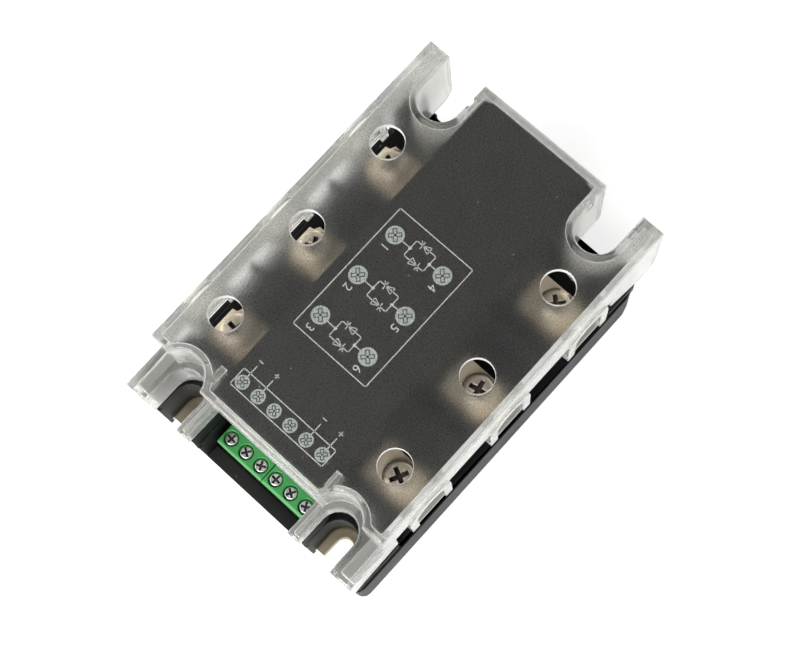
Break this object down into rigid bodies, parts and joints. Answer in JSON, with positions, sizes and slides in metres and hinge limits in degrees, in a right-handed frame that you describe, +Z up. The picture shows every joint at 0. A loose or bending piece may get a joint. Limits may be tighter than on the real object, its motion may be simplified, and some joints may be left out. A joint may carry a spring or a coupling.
{
  "type": "three-phase solid state relay",
  "caption": "Block-shaped solid state relay with a frosted clear lift-off cover, power screw terminals under access holes, a green control terminal strip and open mounting slots.",
  "frame": {"origin": "middle of the bounding box's underside, on the base plate's heat-sink face", "axes": "+X from the control terminals' end to the far end, +Y across the body to the left-hand poles, +Z up through the cover"},
  "size_m": [0.11, 0.0748, 0.046],
  "materials": {
    "base_metal": "satin plate",
    "black_plastic": "moulded, fine matt grain",
    "label_sheet": "printed dark sheet",
    "clear_plastic": "clear polycarbonate with a frosted skin",
    "nickel_plate": "nickel-plated strip",
    "screw_steel": "bright plated screw",
    "zinc_steel": "zinc-plated",
    "green_plastic": "moulded green",
    "board_laminate": "coated laminate",
    "ceramic": "white alumina, matt",
    "silicon": "satin chip"
  },
  "bodies": {
    "body": {"base_plate": "base_metal", "body_housing": "black_plastic", "centre_lid": "black_plastic", "label_plate": "label_sheet", "power_terminal_1": "nickel_plate", "power_terminal_2": "nickel_plate", "power_terminal_3": "nickel_plate", "power_terminal_4": "nickel_plate", "power_terminal_5": "nickel_plate", "power_terminal_6": "nickel_plate", "nut_insert_1": "zinc_steel", "nut_insert_2": "zinc_steel", "nut_insert_3": "zinc_steel", "nut_insert_4": "zinc_steel", "nut_insert_5": "zinc_steel", "nut_insert_6": "zinc_steel", "control_block_left": "green_plastic", "control_block_right": "green_plastic", "control_board": "board_laminate", "ceramic_insulator_1": "ceramic", "ceramic_insulator_2": "ceramic", "ceramic_insulator_3": "ceramic", "thyristor_chip_1": "silicon", "thyristor_chip_2": "silicon", "thyristor_chip_3": "silicon", "thyristor_chip_4": "silicon", "thyristor_chip_5": "silicon", "thyristor_chip_6": "silicon", "trigger_chip": "black_plastic"},
    "cover": {"clear_cover": "clear_plastic"},
    "washers_1": {"flat_washer_1": "nickel_plate", "spring_washer_1": "nickel_plate"},
    "screw_1": {"power_screw_1": "screw_steel"},
    "washers_2": {"flat_washer_2": "nickel_plate", "spring_washer_2": "nickel_plate"},
    "screw_2": {"power_screw_2": "screw_steel"},
    "washers_3": {"flat_washer_3": "nickel_plate", "spring_washer_3": "nickel_plate"},
    "screw_3": {"power_screw_3": "screw_steel"},
    "washers_4": {"flat_washer_4": "nickel_plate", "spring_washer_4": "nickel_plate"},
    "screw_4": {"power_screw_4": "screw_steel"},
    "washers_5": {"flat_washer_5": "nickel_plate", "spring_washer_5": "nickel_plate"},
    "screw_5": {"power_screw_5": "screw_steel"},
    "washers_6": {"flat_washer_6": "nickel_plate", "spring_washer_6": "nickel_plate"},
    "screw_6": {"power_screw_6": "screw_steel"},
    "small_screw_1": {"control_screw_1": "zinc_steel"},
    "cage_1": {"clamp_cage_1": "zinc_steel"},
    "small_screw_2": {"control_screw_2": "zinc_steel"},
    "cage_2": {"clamp_cage_2": "zinc_steel"},
    "small_screw_3": {"control_screw_3": "zinc_steel"},
    "cage_3": {"clamp_cage_3": "zinc_steel"},
    "small_screw_4": {"control_screw_4": "zinc_steel"},
    "cage_4": {"clamp_cage_4": "zinc_steel"},
    "small_screw_5": {"control_screw_5": "zinc_steel"},
    "cage_5": {"clamp_cage_5": "zinc_steel"},
    "small_screw_6": {"control_screw_6": "zinc_steel"},
    "cage_6": {"clamp_cage_6": "zinc_steel"}
  },
  "joints": [
    {"name": "cover_lift", "type": "slide", "parent": "body", "child": "cover", "axis": [0, 0, 1], "range_m": [0, 0.03]},
    {"name": "power_lift_1", "type": "slide", "parent": "body", "child": "washers_1", "axis": [0, 0, 1], "range_m": [0, 0.004]},
    {"name": "power_turn_1", "type": "hinge", "parent": "washers_1", "child": "screw_1", "pos_m": [0.0288, 0.0269, 0.0265], "axis": [0, 0, 1], "range_deg": [0, 1810]},
    {"name": "power_lift_2", "type": "slide", "parent": "body", "child": "washers_2", "axis": [0, 0, 1], "range_m": [0, 0.004]},
    {"name": "power_turn_2", "type": "hinge", "parent": "washers_2", "child": "screw_2", "pos_m": [0.0007, 0.0269, 0.0265], "axis": [0, 0, 1], "range_deg": [0, 1810]},
    {"name": "power_lift_3", "type": "slide", "parent": "body", "child": "washers_3", "axis": [0, 0, 1], "range_m": [0, 0.004]},
    {"name": "power_turn_3", "type": "hinge", "parent": "washers_3", "child": "screw_3", "pos_m": [-0.0274, 0.0269, 0.0265], "axis": [0, 0, 1], "range_deg": [0, 1810]},
    {"name": "power_lift_4", "type": "slide", "parent": "body", "child": "washers_4", "axis": [0, 0, 1], "range_m": [0, 0.004]},
    {"name": "power_turn_4", "type": "hinge", "parent": "washers_4", "child": "screw_4", "pos_m": [0.0288, -0.0269, 0.0265], "axis": [0, 0, 1], "range_deg": [0, 1810]},
    {"name": "power_lift_5", "type": "slide", "parent": "body", "child": "washers_5", "axis": [0, 0, 1], "range_m": [0, 0.004]},
    {"name": "power_turn_5", "type": "hinge", "parent": "washers_5", "child": "screw_5", "pos_m": [0.0007, -0.0269, 0.0265], "axis": [0, 0, 1], "range_deg": [0, 1810]},
    {"name": "power_lift_6", "type": "slide", "parent": "body", "child": "washers_6", "axis": [0, 0, 1], "range_m": [0, 0.004]},
    {"name": "power_turn_6", "type": "hinge", "parent": "washers_6", "child": "screw_6", "pos_m": [-0.0274, -0.0269, 0.0265], "axis": [0, 0, 1], "range_deg": [0, 1810]},
    {"name": "control_turn_1", "type": "hinge", "parent": "body", "child": "small_screw_1", "pos_m": [-0.0473, 0.0127, 0.0128], "axis": [0, 0, -1], "range_deg": [0, 1090]},
    {"name": "cage_lift_1", "type": "slide", "parent": "body", "child": "cage_1", "axis": [0, 0, 1], "range_m": [0, 0.0015]},
    {"name": "control_turn_2", "type": "hinge", "parent": "body", "child": "small_screw_2", "pos_m": [-0.0473, 0.00762, 0.0128], "axis": [0, 0, -1], "range_deg": [0, 1090]},
    {"name": "cage_lift_2", "type": "slide", "parent": "body", "child": "cage_2", "axis": [0, 0, 1], "range_m": [0, 0.0015]},
    {"name": "control_turn_3", "type": "hinge", "parent": "body", "child": "small_screw_3", "pos_m": [-0.0473, 0.00254, 0.0128], "axis": [0, 0, -1], "range_deg": [0, 1090]},
    {"name": "cage_lift_3", "type": "slide", "parent": "body", "child": "cage_3", "axis": [0, 0, 1], "range_m": [0, 0.0015]},
    {"name": "control_turn_4", "type": "hinge", "parent": "body", "child": "small_screw_4", "pos_m": [-0.0473, -0.00254, 0.0128], "axis": [0, 0, -1], "range_deg": [0, 1090]},
    {"name": "cage_lift_4", "type": "slide", "parent": "body", "child": "cage_4", "axis": [0, 0, 1], "range_m": [0, 0.0015]},
    {"name": "control_turn_5", "type": "hinge", "parent": "body", "child": "small_screw_5", "pos_m": [-0.0473, -0.00762, 0.0128], "axis": [0, 0, -1], "range_deg": [0, 1090]},
    {"name": "cage_lift_5", "type": "slide", "parent": "body", "child": "cage_5", "axis": [0, 0, 1], "range_m": [0, 0.0015]},
    {"name": "control_turn_6", "type": "hinge", "parent": "body", "child": "small_screw_6", "pos_m": [-0.0473, -0.0127, 0.0128], "axis": [0, 0, -1], "range_deg": [0, 1090]},
    {"name": "cage_lift_6", "type": "slide", "parent": "body", "child": "cage_6", "axis": [0, 0, 1], "range_m": [0, 0.0015]}
  ],
  "couplings": [
    {"joint": "power_turn_1", "follows": "power_lift_1", "rad_per_m": 7854},
    {"joint": "power_turn_2", "follows": "power_lift_2", "rad_per_m": 7854},
    {"joint": "power_turn_3", "follows": "power_lift_3", "rad_per_m": 7854},
    {"joint": "power_turn_4", "follows": "power_lift_4", "rad_per_m": 7854},
    {"joint": "power_turn_5", "follows": "power_lift_5", "rad_per_m": 7854},
    {"joint": "power_turn_6", "follows": "power_lift_6", "rad_per_m": 7854},
    {"joint": "control_turn_1", "follows": "cage_lift_1", "rad_per_m": 12566},
    {"joint": "control_turn_2", "follows": "cage_lift_2", "rad_per_m": 12566},
    {"joint": "control_turn_3", "follows": "cage_lift_3", "rad_per_m": 12566},
    {"joint": "control_turn_4", "follows": "cage_lift_4", "rad_per_m": 12566},
    {"joint": "control_turn_5", "follows": "cage_lift_5", "rad_per_m": 12566},
    {"joint": "control_turn_6", "follows": "cage_lift_6", "rad_per_m": 12566}
  ]
}
